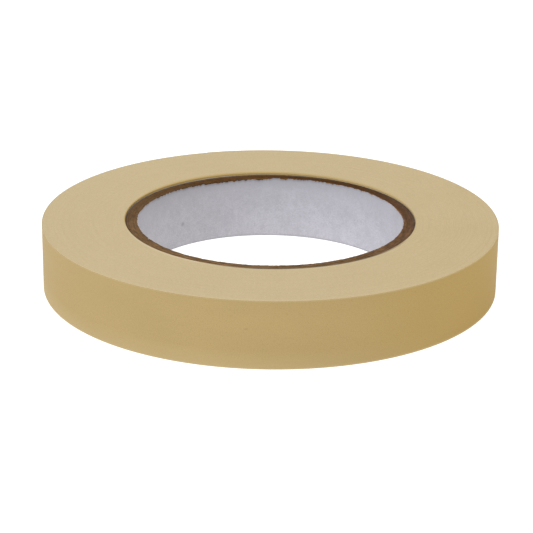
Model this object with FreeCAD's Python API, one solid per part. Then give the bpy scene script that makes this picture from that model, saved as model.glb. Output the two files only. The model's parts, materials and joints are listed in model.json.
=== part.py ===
import FreeCAD, Part
import math
import os

# A roll of masking tape lying on one of its flat sides. A strip of creped paper tape is wound on a
# spiral-wound paperboard core. The origin is the centre of the side that it lies on, and +Z is the roll's axis.

# Driving dimensions, in millimetres.
TAPE_WIDTH = 19.0
TAPE_THICKNESS = 0.144
ROLL_DIAMETER = 130.0
CORE_BORE_DIAMETER = 76.2
CORE_RECESS = 0.4  # the core's top lies this far below the tape's edge, and its foot is level with it
INNER_LINER_THICKNESS = 0.2
BOARD_PLY_THICKNESS = 0.725
BOARD_PLY_COUNT = 4
OUTER_LINER_THICKNESS = 0.2

# Butt seams: each ply is one strip wound at a slant, so its two edges meet along a sloping line.
SEAM_GAP = 0.2
SEAM_RISE = 28.0  # degrees between the seam and the circumference
FIRST_SEAM_ANGLE = -90.0  # the inner liner's seam
SEAM_STAGGER = 65.0  # degrees from one ply's seam to the next one's
SEAM_CUTTER_LENGTH = 50.0  # long enough to cross the core's whole length at that slant
SEAM_CUTTER_DEPTH = 11.0  # deep enough to cut the curved wall at both ends of the seam
SEAM_CUTTER_PROUD = 1.0  # how far the cutter stands outside the ply

# The strip runs counter-clockwise, seen from above, out to its free end.
FREE_END_ANGLE = 108.0
FREE_SEGMENT_COUNT = 8
FREE_SEGMENT_LENGTH = 5.0  # along the strip
PEEL_GAP = 0.04  # the free end lies this far off the turn below it
SEGMENT_GAP = 0.04  # between the free end's segments, at each hinge line

# Worked out from the driving dimensions.
CORE_LENGTH = TAPE_WIDTH - CORE_RECESS
BORE_RADIUS = CORE_BORE_DIAMETER / 2
CORE_RADIUS = (
    BORE_RADIUS + INNER_LINER_THICKNESS + BOARD_PLY_COUNT * BOARD_PLY_THICKNESS + OUTER_LINER_THICKNESS
)

# The outer face is a spiral of quarter turns. Each quarter is a circular arc, and its radius is a quarter of
# the strip's thickness more than the one before, so a full turn climbs by one thickness.
QUARTER_STEP = TAPE_THICKNESS / 4
LAST_QUARTER = 3
FULL_TURN = 360.0
QUARTER_TURN = 90.0
CENTRE_TURN = 135.0  # from the start of a quarter to the direction in which its arc's centre lies
LAST_RADIUS = ROLL_DIAMETER / 2 - PEEL_GAP - QUARTER_STEP / 2
TURN_START = FREE_END_ANGLE - FULL_TURN

FREE_SEGMENT_TURN = math.degrees(FREE_SEGMENT_LENGTH / LAST_RADIUS)
PEEL_LINE = FULL_TURN - FREE_SEGMENT_COUNT * FREE_SEGMENT_TURN  # along the last turn
HALF_GAP_TURN = math.degrees(SEGMENT_GAP / 2 / LAST_RADIUS)


def unit(degrees):
    """The direction at an angle about the roll's axis."""
    turn = math.radians(degrees)
    return FreeCAD.Vector(math.cos(turn), math.sin(turn), 0)


def spiral_point(turn, quarter, offset):
    """A point of the last turn, OFFSET outside its outer face. TURN is in degrees from where it starts."""
    corner = TURN_START + QUARTER_TURN * quarter + CENTRE_TURN
    centre = unit(corner) * (QUARTER_STEP / math.sqrt(2))  # one corner of a small square
    radius = LAST_RADIUS - (LAST_QUARTER - quarter) * QUARTER_STEP + offset
    return centre + unit(TURN_START + turn) * radius


def spiral_arcs(start, stop, offset):
    """The last turn's face between two angles along it, as one arc in each quarter that it crosses."""
    arcs = []
    for quarter in range(LAST_QUARTER + 1):
        low = max(start, quarter * QUARTER_TURN)
        high = min(stop, (quarter + 1) * QUARTER_TURN)
        if high > low:
            ends = (low, (low + high) / 2, high)
            points = [spiral_point(turn, quarter, offset) for turn in ends]
            arcs.append(Part.Arc(*points).toShape())
    return arcs


def first_point(arcs):
    return arcs[0].firstVertex().Point


def last_point(arcs):
    return arcs[-1].lastVertex().Point


def strip(start, stop, lift=0.0):
    """One thickness of tape along part of the last turn, LIFT outside its wound place."""
    outer = spiral_arcs(start, stop, lift)
    inner = spiral_arcs(start, stop, lift - TAPE_THICKNESS)
    ends = [
        Part.makeLine(first_point(inner), first_point(outer)),
        Part.makeLine(last_point(inner), last_point(outer)),
    ]
    outline = Part.Wire(Part.__sortEdges__(outer + inner + ends))
    return Part.Face(outline).extrude(FreeCAD.Vector(0, 0, TAPE_WIDTH))


def wound_turns():
    """All the turns under the last one. The step in its outside is where the last turn begins."""
    outer = spiral_arcs(0, FULL_TURN, -TAPE_THICKNESS)
    step = Part.makeLine(last_point(outer), first_point(outer))
    outline = Part.Wire(Part.__sortEdges__(outer + [step]))
    disc = Part.Face(outline).extrude(FreeCAD.Vector(0, 0, TAPE_WIDTH))
    return disc.cut(Part.makeCylinder(CORE_RADIUS, TAPE_WIDTH))


def free_segment(index):
    """One stiff length of the free end, counted from the peel line outwards."""
    start = PEEL_LINE + index * FREE_SEGMENT_TURN + HALF_GAP_TURN
    last = index == FREE_SEGMENT_COUNT - 1
    stop = FULL_TURN if last else start + FREE_SEGMENT_TURN - 2 * HALF_GAP_TURN
    return strip(start, stop, PEEL_GAP)


def seam_cutter(outer_radius, angle):
    """A thin slanted plate that crosses one side of the core, across its whole length."""
    inside = outer_radius + SEAM_CUTTER_PROUD - SEAM_CUTTER_DEPTH
    corner = FreeCAD.Vector(inside, -SEAM_CUTTER_LENGTH / 2, -SEAM_GAP / 2)
    plate = Part.makeBox(SEAM_CUTTER_DEPTH, SEAM_CUTTER_LENGTH, SEAM_GAP, corner)
    origin = FreeCAD.Vector(0, 0, 0)
    plate.rotate(origin, FreeCAD.Vector(1, 0, 0), SEAM_RISE)
    plate.rotate(origin, FreeCAD.Vector(0, 0, 1), angle)
    plate.translate(FreeCAD.Vector(0, 0, CORE_LENGTH / 2))
    return plate


def core_ply(inner_radius, thickness, order):
    """One ply of the core: a ring with a single slanted butt seam."""
    outer_radius = inner_radius + thickness
    ring = Part.makeCylinder(outer_radius, CORE_LENGTH).cut(Part.makeCylinder(inner_radius, CORE_LENGTH))
    return ring.cut(seam_cutter(outer_radius, FIRST_SEAM_ANGLE + order * SEAM_STAGGER))


def core_plies():
    """Every ply of the core by name, from the bore outwards."""
    stack = [("core_inner_liner", INNER_LINER_THICKNESS)]
    for number in range(1, BOARD_PLY_COUNT + 1):
        stack.append((f"core_board_ply_{number}", BOARD_PLY_THICKNESS))
    stack.append(("core_outer_liner", OUTER_LINER_THICKNESS))
    plies = {}
    radius = BORE_RADIUS
    for order, (name, thickness) in enumerate(stack):
        plies[name] = core_ply(radius, thickness, order)
        radius += thickness
    return plies


def roll():
    """Every piece of the roll by name."""
    pieces = core_plies()
    pieces["tape_winding"] = wound_turns()
    pieces["outer_wrap"] = strip(0, PEEL_LINE)
    for index in range(FREE_SEGMENT_COUNT):
        pieces[f"free_end_{index + 1}"] = free_segment(index)
    return pieces


os.makedirs("parts", exist_ok=True)
for name, shape in roll().items():
    shape.exportStep(f"parts/{name}.step")
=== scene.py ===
"""A roll of masking tape lying flat: every visible piece, its materials, the light and the camera.

Lengths are in millimetres and angles in degrees until a mesh is made. Angles run counter-clockwise about
the roll's axis, seen from above, and "turn" is an angle along the last turn, from where that turn starts.
"""

import json
import math

import bpy
import numpy as np
from mathutils import Matrix, Vector


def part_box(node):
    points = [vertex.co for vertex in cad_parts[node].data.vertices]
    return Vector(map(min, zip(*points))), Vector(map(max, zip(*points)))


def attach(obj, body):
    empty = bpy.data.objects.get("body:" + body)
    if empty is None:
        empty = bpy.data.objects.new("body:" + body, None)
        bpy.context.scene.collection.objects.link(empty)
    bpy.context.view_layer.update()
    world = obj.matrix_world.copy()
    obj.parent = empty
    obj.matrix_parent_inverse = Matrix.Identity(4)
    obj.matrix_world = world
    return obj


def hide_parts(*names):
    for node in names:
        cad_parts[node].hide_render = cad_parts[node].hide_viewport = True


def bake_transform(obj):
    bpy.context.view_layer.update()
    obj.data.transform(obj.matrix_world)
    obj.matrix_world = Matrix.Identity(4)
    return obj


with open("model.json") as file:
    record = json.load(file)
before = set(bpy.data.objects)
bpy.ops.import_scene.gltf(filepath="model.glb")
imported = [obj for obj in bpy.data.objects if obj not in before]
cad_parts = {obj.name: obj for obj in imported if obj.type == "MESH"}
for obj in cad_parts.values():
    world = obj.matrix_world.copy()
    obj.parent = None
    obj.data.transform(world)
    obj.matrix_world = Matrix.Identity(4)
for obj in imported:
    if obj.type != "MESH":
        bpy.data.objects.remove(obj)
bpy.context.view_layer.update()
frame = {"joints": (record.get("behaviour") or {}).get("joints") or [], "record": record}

MM = 0.001  # metres in a millimetre
FULL_TURN = 360.0

# ---------------------------------------------------------------- sizes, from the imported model
TAPE_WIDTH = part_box("tape_winding")[1].z / MM
CORE_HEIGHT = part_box("core_board_ply_1")[1].z / MM
BORE_RADIUS = frame["record"]["mounts"][0]["dims"]["r_mm"]
SEGMENT_COUNT = len(frame["joints"])

# ---------------------------------------------------------------- sizes of the strip and of the core's plies
TAPE_THICKNESS = 0.144
FREE_END_ANGLE = 108.0
END_RADIUS = 64.96  # the last turn's outer face, where that turn ends
PEEL_GAP = 0.04  # the free end lies this far off the turn below it
SEGMENT_LENGTH = 5.0
SEGMENT_TURN = math.degrees(SEGMENT_LENGTH / (END_RADIUS - TAPE_THICKNESS / 8))
PEEL_TURN = FULL_TURN - SEGMENT_COUNT * SEGMENT_TURN
UNDERLAP_TURN = -55.0  # the outer strip starts here, under the free end, and runs on round the roll

INNER_LINER_THICKNESS = 0.2
PLY_THICKNESS = 0.725
PLY_COUNT = 4
OUTER_LINER_THICKNESS = 0.2
CORE_RADIUS = BORE_RADIUS + INNER_LINER_THICKNESS + PLY_COUNT * PLY_THICKNESS + OUTER_LINER_THICKNESS
SEAM_GAP = 0.2
SEAM_RISE = math.radians(28.0)
FIRST_SEAM_ANGLE = -90.0
SEAM_STAGGER = 65.0

# ---------------------------------------------------------------- fineness of the meshes
CREPE_STEP = 0.17  # between cross-sections along the strip
CREPE_ROWS = 18  # up the strip's outer face
CREPE_DEPTH = 0.010
EXPOSED_INNER_ROWS = 10  # up the inner face of the free end
HIDDEN_INNER_ROWS = 1
COVERED_ONCE_COLUMNS = 360  # round the winding, where one turn of the outer strip lies over it
COVERED_TWICE_COLUMNS = 60
PLY_COLUMNS = 1260
TORN_COLUMNS = 2000  # round the two plies that meet at the torn edge
SHARP_EDGE = math.radians(50.0)


# ---------------------------------------------------------------- random relief
class Relief:
    """A smooth random field between -1 and 1 on a seeded lattice. It repeats every PERIOD cells along x."""

    ROWS = 64

    def __init__(self, seed, period=1024):
        self.period = period
        self.table = np.random.default_rng(seed).uniform(-1, 1, (period, self.ROWS))

    def __call__(self, x, y=0.0):
        x, y = np.broadcast_arrays(np.asarray(x, float), np.asarray(y, float))
        column, row = np.floor(x), np.floor(y)
        across, up = x - column, y - row
        across = across * across * (3 - 2 * across)
        up = up * up * (3 - 2 * up)
        left = column.astype(int) % self.period
        right = (left + 1) % self.period
        low = row.astype(int) % self.ROWS
        high = (low + 1) % self.ROWS
        bottom = self.table[left, low] * (1 - across) + self.table[right, low] * across
        top = self.table[left, high] * (1 - across) + self.table[right, high] * across
        return bottom * (1 - up) + top * up

    def around(self, angle, y=0.0):
        """The field round the roll: its whole period fits one turn."""
        return self(np.asarray(angle) / FULL_TURN * self.period, y)


# ---------------------------------------------------------------- mesh helpers
def sweep(name, points, closed, face_slots, materials, uv=None):
    """A solid swept along its columns. POINTS is (column, row, xyz) with the rows round the cross-section.
    FACE_SLOTS gives the material of the faces that start at each row."""
    columns, rows = points.shape[:2]
    index = np.arange(columns * rows).reshape(columns, rows)
    here = index if closed else index[:-1]
    there = np.roll(index, -1, axis=0) if closed else index[1:]
    quads = np.stack([here, there, np.roll(there, -1, axis=1), np.roll(here, -1, axis=1)], axis=-1)
    faces = quads.reshape(-1, 4).tolist()
    slots = np.tile(face_slots, len(here))
    if not closed:
        faces.append(index[0].tolist())
        faces.append(index[-1][::-1].tolist())
        slots = np.append(slots, [face_slots[0], face_slots[0]])
    mesh = bpy.data.meshes.new(name)
    mesh.from_pydata((points.reshape(-1, 3) * MM).tolist(), [], faces)
    for material in materials:
        mesh.materials.append(material)
    mesh.polygons.foreach_set("material_index", slots.astype(np.int32))
    if uv is not None:
        layer = mesh.uv_layers.new(name="strip")
        corner = np.zeros(len(mesh.loops), np.int32)
        mesh.loops.foreach_get("vertex_index", corner)
        layer.data.foreach_set("uv", uv.reshape(-1, 2)[corner].astype(np.float32).ravel())
    mesh.shade_smooth()
    mesh.set_sharp_from_angle(angle=SHARP_EDGE)
    mesh.update()
    piece = bpy.data.objects.new(name, mesh)
    bpy.context.scene.collection.objects.link(piece)
    return piece


def add_attribute(piece, name, values):
    """One number for each vertex, for its material to read."""
    attribute = piece.data.attributes.new(name, "FLOAT", "POINT")
    attribute.data.foreach_set("value", values.astype(np.float32).ravel())


def polar(radius, angle, height):
    """Points at these radii, angles and heights."""
    radius, angle, height = np.broadcast_arrays(radius, np.radians(angle), height)
    return np.stack([radius * np.cos(angle), radius * np.sin(angle), height], axis=-1)


def smoothstep(value):
    value = np.clip(value, 0.0, 1.0)
    return value * value * (3 - 2 * value)


def bump_at(angle, centre, half_width):
    """1 at CENTRE, falling smoothly to 0 at HALF_WIDTH on either side."""
    away = np.abs((np.asarray(angle) - centre + FULL_TURN / 2) % FULL_TURN - FULL_TURN / 2)
    return smoothstep(1 - away / half_width)


# ---------------------------------------------------------------- materials
class Finish:
    """A material being made: short ways to add nodes in front of its Principled shader."""

    def __init__(self, name, specular=0.5):
        self.material = bpy.data.materials.new(name)
        self.material.use_nodes = True
        self.tree = self.material.node_tree
        self.shader = self.tree.nodes["Principled BSDF"]
        self.shader.inputs["Specular IOR Level"].default_value = specular

    def feed(self, socket, value):
        if isinstance(value, bpy.types.NodeSocket):
            self.tree.links.new(value, socket)
        else:
            socket.default_value = value

    def node(self, kind, inputs, **settings):
        made = self.tree.nodes.new(kind)
        for key, value in settings.items():
            setattr(made, key, value)
        for socket, value in inputs.items():
            self.feed(made.inputs[socket], value)
        return made

    def math(self, operation, first, second=0.0):
        return self.node("ShaderNodeMath", {0: first, 1: second}, operation=operation).outputs[0]

    def strip_place(self):
        """Millimetres along the strip and up it."""
        return self.node("ShaderNodeUVMap", {}, uv_map="strip").outputs["UV"]

    def place(self):
        """Millimetres in the roll's own axes."""
        local = self.node("ShaderNodeTexCoord", {}).outputs["Object"]
        return self.node("ShaderNodeVectorMath", {0: local, "Scale": 1 / MM}, operation="SCALE").outputs[0]

    def parts(self, vector):
        return self.node("ShaderNodeSeparateXYZ", {0: vector}).outputs

    def stretch(self, vector, factors):
        return self.node("ShaderNodeVectorMath", {0: vector, 1: factors}, operation="MULTIPLY").outputs[0]

    def radius(self):
        """Millimetres from the roll's axis."""
        flat = self.stretch(self.place(), (1, 1, 0))
        return self.node("ShaderNodeVectorMath", {0: flat}, operation="LENGTH").outputs["Value"]

    def around_and_out(self, around, out):
        """Millimetres around the axis and out from it, each times its factor: noise here follows the core."""
        flat = self.stretch(self.place(), (1, 1, 0))
        bearing = self.node("ShaderNodeVectorMath", {0: flat}, operation="NORMALIZE").outputs[0]
        circle = self.stretch(bearing, (CORE_RADIUS * around, CORE_RADIUS * around, 0))
        away = self.node("ShaderNodeCombineXYZ", {2: self.math("MULTIPLY", self.radius(), out)}).outputs[0]
        return self.node("ShaderNodeVectorMath", {0: circle, 1: away}, operation="ADD").outputs[0]

    def angle(self):
        x, y, _ = self.parts(self.place())
        return self.math("ARCTAN2", y, x)

    def toward(self, bearing, low, high):
        """0 to 1 from LOW to HIGH, in millimetres from the roll's axis towards the angle BEARING."""
        turn = math.radians(bearing)
        inputs = {0: self.place(), 1: (math.cos(turn), math.sin(turn), 0.0)}
        along = self.node("ShaderNodeVectorMath", inputs, operation="DOT_PRODUCT").outputs["Value"]
        return self.span(along, low, high)

    def spot(self, place, size, stretch=(1, 1, 1)):
        """1 at a PLACE given as radius, angle and height, falling to 0 at SIZE millimetres from it."""
        radius, angle, height = place
        turn = math.radians(angle)
        middle = (radius * math.cos(turn), radius * math.sin(turn), height)
        away = self.node("ShaderNodeVectorMath", {0: self.place(), 1: middle}, operation="SUBTRACT")
        away = self.stretch(away.outputs[0], stretch)
        gap = self.node("ShaderNodeVectorMath", {0: away}, operation="LENGTH")
        return self.span(gap.outputs["Value"], 0.25 * size, size, 1.0, 0.0)

    def noise(self, vector, scale, detail=2.0, roughness=0.5):
        inputs = {"Vector": vector, "Scale": scale, "Detail": detail, "Roughness": roughness}
        return self.node("ShaderNodeTexNoise", inputs).outputs["Fac"]

    def noise_along(self, value, scale, detail=2.0):
        inputs = {"W": value, "Scale": scale, "Detail": detail}
        return self.node("ShaderNodeTexNoise", inputs, noise_dimensions="1D").outputs["Fac"]

    def span(self, value, low, high, to_low=0.0, to_high=1.0):
        """VALUE from LOW to HIGH, carried over to another span and held at its ends."""
        inputs = {"Value": value, "From Min": low, "From Max": high, "To Min": to_low, "To Max": to_high}
        return self.node("ShaderNodeMapRange", inputs).outputs["Result"]

    def overlap(self, first, second):
        """The product of two shares."""
        return self.math("MULTIPLY", first, second)

    def mix(self, share, first, second, blend_type="MIX"):
        """From the FIRST colour to the SECOND, by SHARE."""
        made = self.node("ShaderNodeMix", {}, data_type="RGBA", blend_type=blend_type)
        for socket, value in ((0, share), (6, first), (7, second)):
            self.feed(made.inputs[socket], value)
        return made.outputs[2]

    def wash(self, share, colour, factors):
        """COLOUR with its red, green and blue multiplied by FACTORS, by SHARE."""
        return self.mix(share, colour, rgb(*factors), blend_type="MULTIPLY")

    def attribute(self, name):
        return self.node("ShaderNodeAttribute", {}, attribute_name=name).outputs["Fac"]

    def finish(self, colour, roughness, height=None, depth=0.01):
        """DEPTH is the height's full swing, in millimetres."""
        self.feed(self.shader.inputs["Base Color"], colour)
        self.feed(self.shader.inputs["Roughness"], roughness)
        if height is not None:
            bump = self.node("ShaderNodeBump", {"Height": height, "Distance": depth * MM, "Strength": 1.0})
            self.feed(self.shader.inputs["Normal"], bump.outputs["Normal"])
        return self.material


def rgb(red, green, blue):
    return (red, green, blue, 1.0)


def shade(colour, factor):
    return rgb(*(factor * channel for channel in colour[:3]))


BACKING = rgb(0.430, 0.307, 0.131)
# Painted shade: the backing's colour on its right side, away from the lamp, deeper and more saturated.
BACKING_SHADED_SIDE = rgb(0.439, 0.301, 0.106)
BACKING_RIM = rgb(0.570, 0.445, 0.240)
BACKING_SPOT = shade(BACKING, 0.84)
EDGE = rgb(0.645, 0.512, 0.294)
# Painted shade: the slit edges' colour on the right side, away from the lamp.
EDGE_SHADED_SIDE = rgb(0.632, 0.492, 0.266)
ADHESIVE = rgb(0.560, 0.380, 0.130)
GOLDEN_RIM = rgb(0.560, 0.385, 0.130)
GOLDEN_RIM_FADED = rgb(0.595, 0.435, 0.190)
# Painted highlight on the innermost turns' edge at the front.
RIM_HIGHLIGHT = rgb(0.730, 0.585, 0.360)
# A dark line on the innermost turns by the core at the front right.
DARK_CORE_LINE = rgb(0.120, 0.085, 0.048)
WALL = rgb(0.610, 0.430, 0.185)
WALL_FADED = rgb(0.560, 0.430, 0.240)
LINER = rgb(0.478, 0.464, 0.492)
LINER_SPECK = rgb(0.260, 0.240, 0.245)
GREY_LINER = rgb(0.530, 0.470, 0.385)
# Painted shade: the grey liner's colour where it lies in shade at the front.
GREY_LINER_SHADED = rgb(0.185, 0.155, 0.125)
# Painted shade: the grey liner's colour in deeper shade at the front left.
GREY_LINER_IN_SHADOW = rgb(0.180, 0.140, 0.100)
BOARD_PLIES = (
    rgb(0.112, 0.057, 0.022),
    rgb(0.110, 0.057, 0.023),
    rgb(0.115, 0.063, 0.029),
    rgb(0.112, 0.065, 0.033),
)
BOARD_FIBRE = rgb(0.300, 0.180, 0.080)
BOARD_FRINGE = rgb(0.330, 0.190, 0.070)
# A paler brown that the board takes on in patches towards the front left.
BOARD_PALER = rgb(0.232, 0.138, 0.064)

# Small flaws of the paper: radius, angle and height of each, its reach, and how its shape is squeezed.
BACKING_SPOTS = (
    ((65.0, 264.8, 11.1), 0.42, (0.5, 1.0, 1.4)),
    ((65.0, 249.2, 5.0), 0.30, (1.0, 1.0, 1.0)),
    ((65.0, 289.0, 18.0), 0.32, (1.0, 1.0, 1.3)),
    ((65.0, 305.9, 17.2), 0.32, (1.0, 1.0, 0.8)),
    ((65.0, 298.3, 12.5), 0.28, (1.0, 1.0, 0.8)),
    ((65.0, 34.0, 6.5), 0.40, (1.0, 0.6, 1.3)),
    ((65.0, 152.0, 12.0), 0.30, (1.0, 1.0, 1.0)),
)
# Specks in the liner: radius, angle and height of each, its reach, and how dark it is.
LINER_SPECKS = (
    ((38.1, 133.7, 7.0), 0.85, 0.50),
    ((38.1, 231.0, 12.0), 0.50, 0.60),
    ((38.1, 305.0, 5.5), 0.70, 0.50),
)
# A torn bit of the liner, caught on the board's inner edge.
LINER_SHRED_PLACE = (38.15, 208.2, 18.5)
LINER_SHRED_SIZE = 0.32


def backing_paper(finish, place, creases, fibres):
    """Colour of the creped paper: clouds, painted shade in the creases, fibres lighter and darker than the
    rest, painted shade deepening it towards the right and a painted sheen cooling it towards the left.
    """
    clouds = finish.noise(finish.stretch(place, (0.05, 0.12, 1)), 1.0, detail=3.0)
    # Painted shade: deeper colour towards the right, away from the lamp.
    shaded_side = finish.toward(345.0, 35.0, 62.0)
    # Painted sheen: bluer towards the left, where the lamp's light glances off the backing.
    painted_sheen_side = finish.toward(215.0, 20.0, 60.0)
    # Painted shade in the creases of the crepe.
    crease_shade = finish.span(creases, 0.25, 0.5, 0.7, 0.0)
    light_fibres = finish.span(fibres, 0.5, 0.7, 0.0, 0.6)
    dark_fibres = finish.span(fibres, 0.28, 0.48, 1.0, 0.0)
    colour = finish.mix(finish.span(clouds, 0.3, 0.7), shade(BACKING, 0.975), shade(BACKING, 1.025))
    colour = finish.mix(shaded_side, colour, BACKING_SHADED_SIDE)
    colour = finish.wash(painted_sheen_side, colour, (0.99, 1.005, 1.05))
    colour = finish.wash(crease_shade, colour, (0.88, 0.88, 0.88))
    colour = finish.wash(light_fibres, colour, (1.13, 1.13, 1.13))
    colour = finish.wash(dark_fibres, colour, (0.90, 0.90, 0.90))
    for spot_place, size, stretch in BACKING_SPOTS:
        colour = finish.mix(finish.spot(spot_place, size, stretch), colour, BACKING_SPOT)
    return colour


def backing_wear_and_shade(finish, colour, height, fibres):
    """The backing's COLOUR with painted shade low on the right, painted light from the floor at the foot on
    the left, and lighter at both edges, partly wear and partly a painted highlight.
    """
    # Painted shade: darker and deeper low down on the right side.
    shade_low_right = finish.overlap(finish.span(height, 0.0, 16.0, 1.0, 0.0), finish.toward(354.0, 52.0, 66.0))
    # Painted light: the floor's light makes the foot lighter on the left.
    floor_light_at_foot = finish.overlap(finish.span(height, 0.0, 5.0, 0.45, 0.0), finish.toward(225.0, 0.0, 50.0))
    # Lighter along both edges: partly wear, partly a painted highlight on the rounded edges.
    from_middle = finish.math("ABSOLUTE", finish.math("SUBTRACT", height, TAPE_WIDTH / 2))
    worn = finish.span(from_middle, TAPE_WIDTH / 2 - 0.6, TAPE_WIDTH / 2 - 0.02)
    worn = finish.overlap(worn, finish.span(fibres, 0.35, 0.6, 0.3, 0.9))
    less_worn_side = finish.toward(235.0, 20.0, 60.0)
    worn = finish.overlap(worn, finish.span(less_worn_side, 0.0, 1.0, 1.0, 0.35))
    colour = finish.wash(shade_low_right, colour, (0.94, 0.90, 0.76))
    colour = finish.mix(floor_light_at_foot, colour, shade(BACKING_RIM, 0.88))
    return finish.mix(worn, colour, BACKING_RIM)


def tape_backing():
    """Creped paper under its release coat: fine creases, fibres that show, and a soft gloss."""
    finish = Finish("tape_backing", specular=0.03)
    place = finish.strip_place()
    creases = finish.noise(finish.stretch(place, (2.6, 1.2, 1)), 1.0, detail=4.0, roughness=0.6)
    fibres = finish.noise(finish.stretch(place, (4.6, 4.2, 1)), 1.0, detail=3.0)
    colour = backing_paper(finish, place, creases, fibres)
    colour = backing_wear_and_shade(finish, colour, finish.parts(place)[1], fibres)
    roughness = finish.span(finish.math("ADD", creases, fibres), 0.7, 1.3, 0.46, 0.60)
    swell = finish.math("ADD", creases, finish.math("MULTIPLY", fibres, 0.25))
    return finish.finish(colour, roughness, swell, depth=0.03)


def tape_adhesive():
    """The gummed side of the strip: smoother, yellower, with the creases showing through as painted shade."""
    finish = Finish("tape_adhesive", specular=0.35)
    place = finish.strip_place()
    creases = finish.noise(finish.stretch(place, (2.6, 0.42, 1)), 1.0, detail=3.0)
    drops = finish.noise(finish.stretch(place, (0.9, 0.9, 1)), 1.0, detail=2.0)
    # Painted shade in the creases that show through.
    crease_shade = finish.span(creases, 0.3, 0.5, 0.25, 0.0)
    colour = finish.mix(finish.span(drops, 0.35, 0.7), shade(ADHESIVE, 0.96), shade(ADHESIVE, 1.04))
    colour = finish.mix(crease_shade, colour, shade(ADHESIVE, 0.88))
    roughness = finish.span(drops, 0.3, 0.7, 0.26, 0.40)
    return finish.finish(colour, roughness, creases, depth=0.008)


def spiral_lines(finish):
    """0 to 1 across each turn of the strip, as the turns show on the roll's flat sides."""
    turns = finish.math("DIVIDE", finish.radius(), TAPE_THICKNESS)
    turns = finish.math("SUBTRACT", turns, finish.math("DIVIDE", finish.angle(), math.tau))
    return finish.math("FRACT", turns)


def edge_paper(finish, radius, grain):
    """Colour of the slit edges: faint rings where groups of turns differ, clouds, fibre grain, and painted
    shade deepening it towards the right.
    """
    rings = finish.noise_along(radius, 1.6, detail=4.0)
    bands = finish.noise_along(radius, 0.22, detail=2.0)
    clouds = finish.noise(finish.place(), 0.07, detail=3.0)
    # Painted shade: deeper colour towards the right, away from the lamp.
    shaded_side = finish.toward(0.0, 10.0, 64.0)
    colour = finish.mix(finish.span(bands, 0.3, 0.7), shade(EDGE, 0.992), shade(EDGE, 1.008))
    colour = finish.mix(shaded_side, colour, EDGE_SHADED_SIDE)
    colour = finish.mix(finish.span(rings, 0.5, 0.72, 0.0, 0.4), colour, shade(EDGE, 0.95))
    colour = finish.mix(finish.span(clouds, 0.35, 0.65, 0.0, 0.5), colour, shade(EDGE, 1.03))
    colour = finish.mix(finish.span(grain, 0.52, 0.75, 0.0, 1.0), colour, shade(EDGE, 0.88))
    return finish.mix(finish.span(grain, 0.25, 0.42, 0.9, 0.0), colour, shade(EDGE, 1.10))


def edge_marks(finish, colour, radius):
    """Speckle all over the slit edges' COLOUR, fine rings on one side, and a painted highlight along the
    outside at the front.
    """
    speckle = finish.noise(finish.place(), 2.6, detail=2.0, roughness=0.6)
    dark_speckle = finish.span(speckle, 0.5, 0.7)
    light_speckle = finish.span(speckle, 0.3, 0.5, 1.0, 0.0)
    fine_rings = finish.span(finish.noise_along(radius, 3.2, detail=2.0), 0.5, 0.66)
    fine_rings = finish.overlap(fine_rings, finish.toward(335.0, 25.0, 60.0))
    # Painted highlight along the top face's outer edge at the front.
    front_rim_highlight = finish.overlap(finish.span(radius, 63.2, 64.3), finish.toward(280.0, 15.0, 60.0))
    colour = finish.wash(dark_speckle, colour, (0.95, 0.95, 0.94))
    colour = finish.wash(light_speckle, colour, (1.05, 1.05, 1.06))
    colour = finish.wash(fine_rings, colour, (0.96, 0.95, 0.91))
    return finish.wash(front_rim_highlight, colour, (1.035, 1.04, 1.06))


def edge_rim(finish, colour, radius, grain):
    """The innermost turns over COLOUR: golden with adhesive, a painted highlight at the front, and a dark
    line by the core at the front right.
    """
    rim = finish.mix(finish.toward(25.0, 8.0, 38.0), GOLDEN_RIM, GOLDEN_RIM_FADED)
    # Painted highlight: paler rim at the front.
    rim = finish.mix(finish.toward(262.0, 8.0, 22.0), rim, RIM_HIGHLIGHT)
    across = finish.parts(finish.place())[1]
    reach = finish.span(finish.math("ABSOLUTE", across), 6.0, 38.0, 0.4, 1.25)
    reach = finish.math("ADD", reach, finish.span(across, 16.0, 36.0, 0.0, 0.6))
    from_core = finish.math("DIVIDE", finish.math("SUBTRACT", radius, CORE_RADIUS), reach)
    rim_share = finish.span(from_core, 0.25, 1.0, 1.0, 0.0)
    rim_share = finish.overlap(rim_share, finish.toward(160.0, -50.0, -25.0))
    # Darker line next to the core at the front right.
    dark_line = finish.overlap(finish.toward(289.0, 28.5, 38.0), finish.span(grain, 0.3, 0.6, 1.0, 0.8))
    dark_line = finish.overlap(dark_line, finish.span(radius, CORE_RADIUS + 0.36, CORE_RADIUS + 0.72, 1.0, 0.0))
    colour = finish.mix(rim_share, colour, rim)
    return finish.mix(dark_line, colour, DARK_CORE_LINE)


def tape_edge():
    """The slit edges of the turns, side by side: matt, with faint rings and fine fibre grain."""
    finish = Finish("tape_edge", specular=0.12)
    radius = finish.radius()
    grain = finish.noise(finish.place(), 5.5, detail=4.0, roughness=0.65)
    colour = edge_paper(finish, radius, grain)
    colour = edge_marks(finish, colour, radius)
    colour = edge_rim(finish, colour, radius, grain)
    line = finish.span(spiral_lines(finish), 0.0, 0.22, 0.0, 1.0)
    swell = finish.math("ADD", line, finish.math("MULTIPLY", grain, 1.5))
    roughness = finish.span(grain, 0.3, 0.7, 0.68, 0.86)
    return finish.finish(colour, roughness, swell, depth=0.012)


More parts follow.
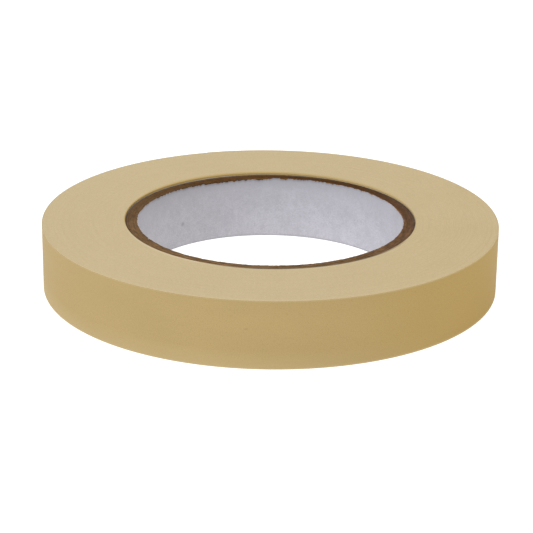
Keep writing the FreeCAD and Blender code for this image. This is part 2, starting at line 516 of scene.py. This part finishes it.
def tape_wall():
    """The innermost turn's gummed side, bare above the core."""
    finish = Finish("tape_wall", specular=0.1)
    place = finish.place()
    smear = finish.noise(finish.stretch(place, (0.5, 0.5, 2.0)), 1.0, detail=3.0)
    grain = finish.noise(place, 4.0, detail=3.0)
    faded_side = finish.toward(25.0, 8.0, 38.0)
    colour = finish.mix(finish.span(smear, 0.35, 0.65), shade(WALL, 0.94), shade(WALL, 1.06))
    colour = finish.mix(faded_side, colour, WALL_FADED)
    colour = finish.mix(finish.span(grain, 0.55, 0.75, 0.0, 0.3), colour, shade(WALL, 0.85))
    return finish.finish(colour, finish.span(smear, 0.3, 0.7, 0.4, 0.6), grain, depth=0.02)


def liner_paper(finish, place, mottle, fibres):
    """Colour of the machine-made paper: soft mottling, blots, and fibres that show."""
    blots = finish.noise(place, 0.55, detail=3.0, roughness=0.6)
    colour = finish.mix(finish.span(mottle, 0.35, 0.65), shade(LINER, 0.945), shade(LINER, 1.05))
    colour = finish.mix(finish.span(blots, 0.48, 0.66, 0.0, 0.7), colour, shade(LINER, 0.91))
    colour = finish.mix(finish.span(blots, 0.32, 0.46, 0.5, 0.0), colour, shade(LINER, 1.08))
    colour = finish.mix(finish.span(fibres, 0.5, 0.75, 0.0, 0.9), colour, shade(LINER, 0.78))
    return finish.mix(finish.span(fibres, 0.25, 0.45, 0.7, 0.0), colour, shade(LINER, 1.22))


def liner_fringe_and_shade(finish, colour, height):
    """The liner's COLOUR with painted shade darker upwards, darker near the top on the far side, a painted
    shadow under the torn board, the torn board's fringe, painted light from the floor low down on the far
    right, and a painted contact shadow at the foot.
    """
    below_edge = finish.attribute("below_edge")
    # Painted shade: darker upwards, away from the floor's light.
    shaded_upper_part = finish.span(height, 9.0, 18.0, 0.0, 0.6)
    # Darker near the top on the far side.
    darker_top_far = finish.overlap(finish.span(height, 15.0, 18.2, 0.0, 0.8), finish.toward(105.0, 5.0, 38.0))
    # Painted shadow: darker just under the torn board that hangs over the liner's top.
    shadow_under_tear = finish.overlap(finish.span(below_edge, 0.0, 0.8, 0.75, 0.0), finish.toward(95.0, 10.0, 36.0))
    torn_edge = finish.overlap(finish.span(below_edge, 0.1, 0.3, 0.9, 0.0), finish.toward(275.0, 5.0, 34.0))
    # Painted light: lighter low down on the far right, where the floor's light reaches.
    floor_light_low_down = finish.overlap(finish.span(height, 2.0, 9.0, 1.0, 0.0), finish.toward(50.0, 16.0, 36.0))
    # Painted contact shadow: darker at the foot, where the liner meets the floor.
    foot = finish.span(height, 0.0, 0.7, 0.8, 0.0)
    colour = finish.mix(shaded_upper_part, colour, shade(LINER, 0.86))
    colour = finish.mix(darker_top_far, colour, shade(LINER, 0.72))
    colour = finish.mix(shadow_under_tear, colour, shade(LINER, 0.50))
    colour = finish.mix(torn_edge, colour, shade(BOARD_FRINGE, 0.6))
    colour = finish.wash(floor_light_low_down, colour, (1.07, 1.06, 1.06))
    return finish.mix(foot, colour, shade(LINER, 0.70))


def white_liner():
    """Smooth machine-made paper, softly mottled, with a few dark specks, darker near the top, a painted
    shadow under the torn board, a painted contact shadow at the foot and painted light low down on one side.
    """
    finish = Finish("white_liner", specular=0.2)
    place = finish.place()
    mottle = finish.noise(place, 0.17, detail=3.0, roughness=0.55)
    fibres = finish.noise(finish.stretch(place, (2.2, 2.2, 3.0)), 1.0, detail=4.0, roughness=0.6)
    colour = liner_paper(finish, place, mottle, fibres)
    colour = liner_fringe_and_shade(finish, colour, finish.parts(place)[2])
    for speck_place, size, darkness in LINER_SPECKS:
        speck = finish.overlap(finish.spot(speck_place, size), darkness)
        colour = finish.mix(speck, colour, LINER_SPECK)
    roughness = finish.span(mottle, 0.3, 0.7, 0.55, 0.70)
    return finish.finish(colour, roughness, fibres, depth=0.02)


def grey_liner():
    """The thin grey paper between the board and the tape, with painted light towards the far side and painted
    shade at the front, deepest at the front left.
    """
    finish = Finish("grey_liner", specular=0.3)
    fibres = finish.noise(finish.place(), 2.4, detail=4.0)
    # Painted light and shade: lit towards the far side, shaded at the front.
    lit_side = finish.toward(110.0, 0.0, 40.0)
    # Painted shade: darker still towards the front left.
    shaded_left_side = finish.toward(215.0, -10.0, 36.0)
    brown_side = finish.toward(78.0, 32.0, 40.0)
    colour = finish.mix(finish.span(fibres, 0.35, 0.7), shade(GREY_LINER, 0.85), shade(GREY_LINER, 1.12))
    colour = finish.mix(lit_side, GREY_LINER_SHADED, colour)
    colour = finish.mix(shaded_left_side, colour, GREY_LINER_IN_SHADOW)
    colour = finish.wash(brown_side, colour, (0.68, 0.60, 0.45))
    return finish.finish(colour, 0.8, fibres, depth=0.04)


def board_fibres(finish, base, clumps, lint):
    """Colour of the sawn chipboard: clumps, darker layers, and pale lint."""
    layers = finish.noise_along(finish.radius(), 5.0, detail=3.0)
    colour = finish.mix(finish.span(clumps, 0.35, 0.7), shade(base, 0.78), shade(base, 1.16))
    colour = finish.mix(finish.span(layers, 0.5, 0.75, 0.0, 0.5), colour, shade(base, 0.66))
    return finish.mix(finish.span(lint, 0.56, 0.78, 0.0, 0.5), colour, BOARD_FIBRE)


def board_tone_and_fringe(finish, colour, place):
    """The board's COLOUR paler in patches towards the front left, and the paler fringe of its torn fibres."""
    smears = finish.noise(place, 0.11, detail=2.0)
    front_left_side = finish.toward(245.0, -25.0, 42.0)
    paler_patches = finish.overlap(front_left_side, finish.span(smears, 0.3, 0.7, 0.5, 1.0))
    fringe = finish.span(finish.attribute("fray"), 0.1, 0.9, 0.0, 0.9)
    fringe = finish.overlap(fringe, finish.toward(335.0, -25.0, 0.0))
    colour = finish.mix(paler_patches, colour, BOARD_PALER)
    return finish.mix(fringe, colour, BOARD_FRINGE)


def board_sides(finish, colour):
    """How the board's COLOUR changes around the core, and streaks along its fibres, most of all in front."""
    pinker_side = finish.toward(0.0, 24.0, 39.0)
    browner_side = finish.toward(62.0, 30.0, 38.0)
    warmer_side = finish.toward(95.0, 12.0, 37.0)
    streaks = finish.noise(finish.around_and_out(0.32, 1.7), 1.0, detail=3.0, roughness=0.6)
    streaked = finish.span(finish.toward(275.0, -15.0, 30.0), 0.0, 1.0, 0.35, 1.0)
    light_streaks = finish.overlap(finish.span(streaks, 0.52, 0.64), streaked)
    dark_streaks = finish.overlap(finish.span(streaks, 0.36, 0.48, 1.0, 0.0), streaked)
    colour = finish.wash(pinker_side, colour, (1.18, 1.13, 1.30))
    colour = finish.wash(browner_side, colour, (0.77, 0.70, 0.58))
    colour = finish.wash(light_streaks, colour, (1.50, 1.36, 1.15))
    colour = finish.wash(dark_streaks, colour, (0.64, 0.64, 0.68))
    return finish.wash(warmer_side, colour, (1.03, 0.95, 0.74))


def board_outside(finish, colour, base):
    """A dark band under the grey liner, and grey paper that the saw dragged over the board's COLOUR."""
    radius = finish.radius()
    # Darker along the board's outside, under the grey liner.
    dark_outer_band = finish.span(radius, CORE_RADIUS - 0.75, CORE_RADIUS - 0.3, 0.0, 0.5)
    smear = finish.span(radius, CORE_RADIUS - 1.3, CORE_RADIUS - 0.4, 0.0, 0.30)
    smear = finish.overlap(smear, finish.toward(100.0, 30.0, 37.0))
    skin = finish.span(radius, CORE_RADIUS - 0.44, CORE_RADIUS - 0.34, 0.0, 0.85)
    skin = finish.overlap(skin, finish.toward(125.0, 22.0, 38.0))
    colour = finish.mix(dark_outer_band, colour, shade(base, 0.6))
    colour = finish.mix(smear, colour, shade(GREY_LINER, 0.6))
    return finish.mix(skin, colour, shade(GREY_LINER, 0.75))


def board(number, base):
    """One ply of sawn chipboard: torn fibres, a dark band outside, paler patches towards the front left, and
    paler lint on top.
    """
    finish = Finish(f"chipboard_{number}", specular=0.05)
    place = finish.place()
    clumps = finish.noise(place, 0.9, detail=4.0, roughness=0.65)
    lint = finish.noise(place, 3.4, detail=4.0, roughness=0.7)
    colour = board_fibres(finish, base, clumps, lint)
    colour = board_tone_and_fringe(finish, colour, place)
    colour = board_sides(finish, colour)
    colour = board_outside(finish, colour, base)
    shred = finish.spot(LINER_SHRED_PLACE, LINER_SHRED_SIZE)
    colour = finish.mix(shred, colour, shade(LINER, 1.7))
    swell = finish.math("ADD", clumps, lint)
    return finish.finish(colour, finish.span(lint, 0.3, 0.7, 0.8, 0.95), swell, depth=0.12)


# ---------------------------------------------------------------- the tape
def outer_radius(turn):
    """The last turn's outer face: it climbs by one thickness in each full turn."""
    return END_RADIUS - TAPE_THICKNESS * (1 - np.asarray(turn) / FULL_TURN)


crepe_wide = Relief(11)
crepe_fine = Relief(12)
crepe_drift = Relief(13)


def crepe(along, height):
    """How far the outer face lies inside its highest places: creases across the strip, not quite straight."""
    bend = crepe_drift(along / 7.0, height / 5.0)
    wide = crepe_wide(along / 0.85 + 1.4 * bend, height / 3.4)
    fine = crepe_fine(along / 0.42 + 0.8 * bend, height / 1.5)
    return CREPE_DEPTH * (0.5 - 0.32 * wide - 0.18 * fine)


# The strip's materials, in the order in which its pieces take them.
BACKING_SLOT, ADHESIVE_SLOT, EDGE_SLOT = range(3)


def strip_profile(inner_rows):
    """Rows round the strip's cross-section: depth inside the outer face, height, and material slot."""
    nick, round_off = 0.010, 0.034
    top, thick = TAPE_WIDTH, TAPE_THICKNESS
    outer_heights = np.linspace(round_off, top - round_off, CREPE_ROWS + 1)
    inner_heights = np.linspace(top - round_off, round_off, inner_rows + 1)
    depth = np.concatenate([
        np.zeros(len(outer_heights)),
        [nick, round_off, thick - round_off, thick - nick],
        np.full(len(inner_heights), thick),
        [thick - nick, thick - round_off, round_off, nick],
    ])
    height = np.concatenate([
        outer_heights,
        [top - nick, top, top, top - nick],
        inner_heights,
        [nick, 0.0, 0.0, nick],
    ])
    first_inner = len(outer_heights) + 4
    edge_rows = np.arange(5)
    slots = np.full(len(depth), BACKING_SLOT)
    slots[first_inner : first_inner + inner_rows] = ADHESIVE_SLOT
    slots[len(outer_heights) - 1 + edge_rows] = EDGE_SLOT
    slots[len(depth) - len(edge_rows) + edge_rows] = EDGE_SLOT
    return depth, height, slots


def strip_piece(name, start, stop, lift, inner_rows, materials):
    """Part of the strip, from one turn angle to another, LIFT(turn) outside its wound place."""
    columns = max(2, round(math.radians(stop - start) * END_RADIUS / CREPE_STEP) + 1)
    turn = np.linspace(start, stop, columns)[:, None]
    depth, height, slots = strip_profile(inner_rows)
    along = np.radians(turn) * END_RADIUS + np.zeros_like(height)
    creased = depth + crepe(along, height) * np.where(depth < TAPE_THICKNESS / 2, 1.0, -1.0)
    radius = outer_radius(turn) + lift(turn) - creased
    points = polar(radius, FREE_END_ANGLE + turn, height)
    uv = np.stack([along, np.broadcast_to(height, along.shape)], axis=-1)
    return sweep(name, points, False, slots, materials, uv)


def no_lift(turn):
    return 0.0


def peel_lift(turn):
    """The free end stands off the turn below it by a hair, from the peel line on."""
    return PEEL_GAP * smoothstep((turn - PEEL_TURN + SEGMENT_TURN / 2) / SEGMENT_TURN)


def hinge_middle(index):
    """The place on the outer face midway along free segment INDEX; index 0 is as far before the peel line."""
    turn = PEEL_TURN + (index - 0.5) * SEGMENT_TURN
    return polar(outer_radius(turn), FREE_END_ANGLE + turn, TAPE_WIDTH / 2) * MM


def build_strip(materials):
    """The outer turn, and the free end as pieces, one for each of the model's segments, and its tip."""
    half = SEGMENT_TURN / 2
    outer_turn = strip_piece(
        "outer_turn", UNDERLAP_TURN, PEEL_TURN - half, no_lift, HIDDEN_INNER_ROWS, materials
    )
    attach(outer_turn, "roll")
    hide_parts("outer_wrap")
    previous = "roll"
    for number in range(1, SEGMENT_COUNT + 1):
        body = f"free_end_{number}"
        stop = PEEL_TURN + (number - 0.5) * SEGMENT_TURN
        piece = strip_piece(
            f"free_strip_{number}", stop - SEGMENT_TURN, stop, peel_lift, EXPOSED_INNER_ROWS, materials
        )
        tuple(hinge_middle(number - 1))
        tuple(hinge_middle(number))
        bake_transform(piece)
        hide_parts(body)
        previous = body
    tip = strip_piece(
        "free_strip_tip", FULL_TURN - half, FULL_TURN, peel_lift, EXPOSED_INNER_ROWS, materials
    )
    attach(tip, previous)


def ring_shares(seed, inner, outer):
    """Where groups of turns start and stop across the roll's flat side, as shares of its breadth."""
    draw = np.random.default_rng(seed)
    edges = [0.0]
    while edges[-1] < outer - inner:
        edges.append(edges[-1] + draw.uniform(0.35, 0.95))
    edges = np.array(edges[:-1] + [outer - inner])
    step = 0.03  # half the groove between two groups
    shares = np.stack([edges[:-1] + step, edges[1:] - step], axis=1).ravel() / (outer - inner)
    shares[0], shares[-1] = 0.0, 1.0
    corner_share = 0.0012
    return np.insert(shares, 1, corner_share)


def winding_columns():
    """Turn angles round the winding, and how many turns of the outer strip lie over it at each."""
    covered = FULL_TURN + UNDERLAP_TURN
    hair = 0.02
    turn = np.concatenate([
        np.linspace(0, covered - hair, COVERED_ONCE_COLUMNS),
        np.linspace(covered, FULL_TURN - hair, COVERED_TWICE_COLUMNS),
    ])[:, None]
    return turn, np.where(turn < covered - hair / 2, 1, 2)


def winding_wall(inner):
    """Radii and heights of the rows down the winding's bare inside, which is rounded at both ends."""
    bevel, bevel_height, corner, below_corner, core_depth = 0.009, 0.042, 0.065, 0.09, 0.4
    top = TAPE_WIDTH
    radii = inner + np.array([bevel, 0.0, 0.0, 0.0, 0.0, 0.0, bevel])
    heights = [top - bevel_height, top - corner, top - below_corner, top - core_depth]
    return radii, np.array(heights + [core_depth, corner, bevel_height])


def build_winding(edge_material, wall_material):
    """All the turns under the outer strip, as one ring whose flat sides show groups of turns."""
    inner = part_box("core_outer_liner")[1].x / MM
    turn, layers = winding_columns()
    outer = outer_radius(turn) - layers * TAPE_THICKNESS
    angle = FREE_END_ANGLE + turn
    shares = ring_shares(21, inner, END_RADIUS)
    wobble = Relief(22, 16)
    settle = Relief(23, 24)
    ring = np.maximum(np.arange(len(shares)) - 1, 0) // 2
    sink, spread, tilt = 0.014, 0.004, 0.005  # how far each group of turns lies below the tape's edge
    sink = sink + spread * np.random.default_rng(24).uniform(-1, 1, len(shares))[ring]
    sink = sink + tilt * settle.around(angle, ring * 1.37)
    round_off = 0.03
    shares = shares + (shares * (1 - shares) * 0.01) * wobble.around(angle, ring * 0.31)
    radius = inner + round_off + (outer - inner - round_off) * shares
    wall_radii, wall_heights = winding_wall(inner)
    radii = np.concatenate([radius[:, ::-1], wall_radii + 0.0 * turn, radius], axis=1)
    heights = np.concatenate([TAPE_WIDTH - sink[:, ::-1], wall_heights + 0.0 * turn, sink], axis=1)
    points = polar(radii, angle, heights)
    slots = np.zeros(points.shape[1])
    first_wall = len(shares)
    slots[first_wall : first_wall + len(wall_radii) - 1] = 1
    winding = sweep("wound_turns", points, True, slots, [edge_material, wall_material])
    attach(winding, "roll")
    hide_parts("tape_winding")


# ---------------------------------------------------------------- the core
burr_long = Relief(31, 24)
burr_short = Relief(32, 76)
burr_fine = Relief(33, 330)
burr_threads = Relief(36, 760)
saw_line = Relief(34, 300)
lip_wave = Relief(35, 420)
WALL_HEIGHTS = np.linspace(0.5, CORE_HEIGHT - 1.4, 9)  # rows down a ply's straight faces
CORNER = 0.05  # how far the board's sawn edge lies below the core's full height at the bore


def core_top(angle):
    """Height of the core's sawn end: it isn't quite parallel to the tape's edge."""
    return CORE_HEIGHT + 0.10 * bump_at(angle, 290, 110)


def sawn_edge(angle):
    """Height of the board's top edge where it meets the bore."""
    return core_top(angle) - CORNER - 0.03 * (1 + saw_line.around(angle))


# Where the saw tore the board most: the middle and half-width of each stretch, and how far it hangs down.
TEARS = (
    (158, 24, 0.42),
    (132, 22, 0.34),
    (114, 20, 0.60),
    (103, 11, 0.35),
    (94, 7, 0.62),
    (84, 4, 0.28),
    (76, 8, 0.26),
    (60, 6, 0.24),
    (39, 3, 0.22),
    (30, 5, 0.14),
    (14, 10, 0.22),
    (248, 50, 0.20),
)


MEAN_BURR = 0.07  # how far the board hangs down between those stretches
LIP_REACH = 0.35  # how far the torn fibres stand out into the bore


def burr(angle):
    """How far torn board hangs down over the inner liner from the sawn edge."""
    torn = MEAN_BURR + sum(depth * bump_at(angle, middle, reach) for middle, reach, depth in TEARS)
    torn = torn + 0.04 * burr_long.around(angle) + 0.09 * burr_short.around(angle)
    torn = torn + 0.17 * burr_fine.around(angle) + 0.17 * burr_threads.around(angle)
    return np.clip(torn, 0.02, 1.1)


class Ply:
    """One ply of the core out to a radius: a strip whose two ends meet at a slanted seam."""

    LEAN_REACH = 75.0  # how far from the seam the columns still lean with it

    def __init__(self, order, outer, columns=PLY_COLUMNS):
        self.outer = outer
        self.seam = FIRST_SEAM_ANGLE + order * SEAM_STAGGER
        half_gap = math.degrees(SEAM_GAP / 2 / math.sin(SEAM_RISE) / outer)
        self.base = np.linspace(half_gap, FULL_TURN - half_gap, columns)[:, None]
        near_seam = np.minimum(self.base, FULL_TURN - self.base) - half_gap
        self.lean_share = smoothstep(1 - near_seam / self.LEAN_REACH)

    def angle(self, height):
        """The angle of each column at each height: columns near the seam lean as it does."""
        lean = (height - CORE_HEIGHT / 2) / math.tan(SEAM_RISE) / self.outer
        return self.seam + self.base + np.degrees(np.arcsin(lean)) * self.lean_share

    def points(self, radius, height):
        return polar(radius, self.angle(height), height)


def join_rows(outline):
    """Radii and heights of every row of a ply's outline, given in groups of rows."""
    radii = np.concatenate([radius for radius, _ in outline], axis=1)
    heights = np.concatenate([height for _, height in outline], axis=1)
    return radii, heights


def build_inner_liner(material):
    """White paper sleeve. Its top edge is torn back where board fibres hang over it."""
    inner, outer = BORE_RADIUS, BORE_RADIUS + INNER_LINER_THICKNESS
    ply = Ply(0, outer, TORN_COLUMNS)
    top = CORE_HEIGHT + 0 * ply.base
    for _ in range(4):  # the columns lean, so the angle at the top depends on the top's height
        angle = ply.angle(top)
        top = sawn_edge(angle) - burr(angle)
    wave = Relief(41, 150)
    shares = np.linspace(1, 0, 17)[1:-1]
    heights = top * shares
    bore = inner + 0.012 * (1 + wave.around(ply.angle(heights), heights / 2.5))
    zero = 0 * top
    bevel, bevel_height, skin = 0.05, 0.04, 0.01
    radii, rows = join_rows((
        (outer + 0 * heights, heights[:, ::-1]),
        (outer + zero, top - bevel_height),
        (outer - bevel + zero, top),
        (inner + bevel + zero, top),
        (inner + skin + zero, top - bevel_height),
        (bore, heights),
        (inner + skin + zero, zero + bevel_height),
        (inner + bevel + zero, zero),
        (outer - bevel + zero, zero),
    ))
    points = ply.points(radii, rows)
    liner = sweep("inner_liner", points, False, np.zeros(points.shape[1]), [material])
    add_attribute(liner, "below_edge", top - rows)
    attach(liner, "roll")
    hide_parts("core_inner_liner")


def burr_lip(ply, inner):
    """Ply 1's torn fibres: radii, heights and fray of the rows that hang over the liner's top edge."""
    angle = ply.angle(CORE_HEIGHT + 0 * ply.base)
    hang = burr(angle)
    reach = LIP_REACH + 0.10 * bump_at(angle, 320, 45) + 0.08 * bump_at(angle, 215, 50)
    reach = reach + 0.09 * lip_wave.around(angle) + 0.05 * burr_threads.around(angle, 7.0)
    reach = np.maximum(reach - 0.28 * bump_at(angle, 50, 42), 0.04)
    edge = sawn_edge(angle)
    radii = inner - reach * np.array([0.9, 1.0, 0.7, 0.0])
    heights = edge - hang * np.array([0.0, 0.35, 0.75, 1.0])
    fray = np.array([0.4, 1.0, 0.9, 0.6]) + 0.0 * hang
    return radii, heights, fray


def sawn_end(ply, number, inner, outer):
    """Radii and heights of the rows across a board ply's top: torn fibres, and lower along both faces."""
    clumps = Relief(50 + number, 260)
    fibres = Relief(60 + number, 1000)
    edge_line = Relief(70 + number, 500)
    shares = np.array([0.0, 0.06, 0.2, 0.4, 0.6, 0.8, 0.94, 1.0])
    angle = ply.angle(CORE_HEIGHT + 0 * ply.base)
    groove = 0.06 * np.abs(2 * shares - 1) ** 6
    torn = 0.040 * clumps.around(angle, shares * 3) + 0.030 * fibres.around(angle, shares * 9)
    top = core_top(angle) - np.clip(0.075 + torn, 0.005, None) - groove
    across = inner + (outer - inner) * shares + 0 * top
    across[:, 1:-1] += 0.03 * edge_line.around(angle)
    return across, top


def build_board_ply(number, inner, outer, material):
    """One ply of chipboard with a sawn, fibrous top edge. The first one also hangs over the inner liner."""
    ply = Ply(number, outer, TORN_COLUMNS if number == 1 else PLY_COLUMNS)
    across, top = sawn_end(ply, number, inner, outer)
    zero = 0 * top[:, :1]
    inner_wall = inner + 0 * WALL_HEIGHTS + zero
    outer_wall = outer + 0 * WALL_HEIGHTS + zero
    wall_heights = WALL_HEIGHTS + zero
    foot = inner + (outer - inner) * np.array([0.0, 0.06, 0.94, 1.0]) + zero
    foot_heights = 0.03 * np.array([1, 0, 0, 1]) + zero
    if number == 1:
        lip_radii, lip_heights, lip_fray = burr_lip(ply, inner)
        across, top = across[:, 1:], top[:, 1:]
    else:
        lip_radii, lip_heights, lip_fray = (np.zeros((len(top), 0)) for _ in range(3))
    radii = np.concatenate([outer_wall, across[:, ::-1], lip_radii, inner_wall[:, ::-1], foot], axis=1)
    heights = np.concatenate(
        [wall_heights, top[:, ::-1], lip_heights, wall_heights[:, ::-1], foot_heights], axis=1
    )
    fray = np.concatenate([0 * outer_wall, 0 * across, lip_fray, 0 * inner_wall, 0 * foot], axis=1)
    points = ply.points(radii, heights)
    piece = sweep(f"board_ply_{number}", points, False, np.zeros(points.shape[1]), [material])
    add_attribute(piece, "fray", fray)
    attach(piece, "roll")
    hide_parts(f"core_board_ply_{number}")


def build_outer_liner(order, inner, outer, material):
    """Thin grey paper outside the board; its top edge stands up as a fine pale line."""
    ply = Ply(order, outer)
    uneven = Relief(81, 700)
    slow = Relief(82, 90)
    top_angle = ply.angle(CORE_HEIGHT)
    worn = 0.03 + 0.02 * uneven.around(top_angle) + 0.02 * slow.around(top_angle)
    top = core_top(top_angle) - np.clip(worn, 0.0, None)
    skin, bevel = 0.01, 0.03
    zero = 0 * top
    walls = WALL_HEIGHTS + zero
    face = outer - skin
    radii, heights = join_rows((
        (face + 0 * walls, walls),
        (face + zero, top - bevel),
        (face - bevel + zero, top),
        (inner + bevel + zero, top),
        (inner + zero, top - bevel),
        (inner + 0 * walls, walls[:, ::-1]),
        (inner + bevel + zero, zero),
        (face - bevel + zero, zero),
    ))
    points = ply.points(radii, heights)
    piece = sweep("outer_liner", points, False, np.zeros(points.shape[1]), [material])
    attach(piece, "roll")
    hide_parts("core_outer_liner")


def build_core():
    """Every ply of the core, from the bore outwards."""
    build_inner_liner(white_liner())
    radius = BORE_RADIUS + INNER_LINER_THICKNESS
    for number in range(1, PLY_COUNT + 1):
        material = board(number, BOARD_PLIES[number - 1])
        build_board_ply(number, radius, radius + PLY_THICKNESS, material)
        radius += PLY_THICKNESS
    build_outer_liner(PLY_COUNT + 1, radius, radius + OUTER_LINER_THICKNESS, grey_liner())


# ---------------------------------------------------------------- the setting
def build_floor():
    """A plain pale sheet, which shines a little so that the roll casts hardly any shadow on it."""
    size = 3.0
    corners = [(-size, -size, 0), (size, -size, 0), (size, size, 0), (-size, size, 0)]
    mesh = bpy.data.meshes.new("floor")
    mesh.from_pydata(corners, [], [(0, 1, 2, 3)])
    floor = bpy.data.objects.new("floor", mesh)
    bpy.context.scene.collection.objects.link(floor)
    material = bpy.data.materials.new("floor_paper")
    material.use_nodes = True
    shader = material.node_tree.nodes["Principled BSDF"]
    shader.inputs["Base Color"].default_value = rgb(0.45, 0.45, 0.45)
    shader.inputs["Roughness"].default_value = 0.9
    shader.inputs["Specular IOR Level"].default_value = 0.0
    shader.inputs["Emission Color"].default_value = rgb(1, 1, 1)
    shader.inputs["Emission Strength"].default_value = 0.90
    mesh.materials.append(material)


def area_light(name, place, size, power, colour):
    """A square soft box that faces the roll."""
    light = bpy.data.lights.new(name, "AREA")
    light.size = size
    light.energy = power
    light.color = colour
    box = bpy.data.objects.new(name, light)
    box.location = place
    box.rotation_euler = (-Vector(place)).to_track_quat("-Z", "Y").to_euler()
    bpy.context.scene.collection.objects.link(box)


def build_light():
    """An even white room, and one large cool lamp at the front left."""
    world = bpy.data.worlds.new("studio")
    world.use_nodes = True
    background = world.node_tree.nodes["Background"]
    background.inputs["Color"].default_value = rgb(1, 1, 1)
    background.inputs["Strength"].default_value = 0.82
    bpy.context.scene.world = world
    area_light("key", place=(-1.3, -0.9, 1.0), size=1.2, power=9.0, colour=(0.90, 0.97, 1.15))


CAMERA_PLACE = (0.0, -0.5249, 0.2010)  # metres
CAMERA_PITCH = 0.3590  # radians, downwards
CAMERA_YAW = -0.00177  # radians, to the right of +Y
CAMERA_ROLL = 0.01149  # radians
CAMERA_LENS = 131.44
CAMERA_SENSOR = 36.0


def build_camera():
    """The camera in front of the roll, a little above it."""
    forward = Vector((
        math.sin(CAMERA_YAW) * math.cos(CAMERA_PITCH),
        math.cos(CAMERA_YAW) * math.cos(CAMERA_PITCH),
        -math.sin(CAMERA_PITCH),
    ))
    right = Vector((math.cos(CAMERA_YAW), -math.sin(CAMERA_YAW), 0))
    up = right.cross(forward)
    turned_right = math.cos(CAMERA_ROLL) * right + math.sin(CAMERA_ROLL) * up
    turned_up = math.cos(CAMERA_ROLL) * up - math.sin(CAMERA_ROLL) * right
    data = bpy.data.cameras.new("camera")
    data.lens = CAMERA_LENS
    data.sensor_width = CAMERA_SENSOR
    data.clip_start = 0.01
    data.clip_end = 20
    camera = bpy.data.objects.new("camera", data)
    axes = Matrix((turned_right, turned_up, -forward)).transposed().to_4x4()
    camera.matrix_world = Matrix.Translation(CAMERA_PLACE) @ axes
    bpy.context.scene.collection.objects.link(camera)
    bpy.context.scene.camera = camera


build_strip([tape_backing(), tape_adhesive(), tape_edge()])
build_winding(tape_edge(), tape_wall())
build_core()
build_floor()
build_light()
build_camera()
bpy.context.scene.view_settings.view_transform = "Standard"
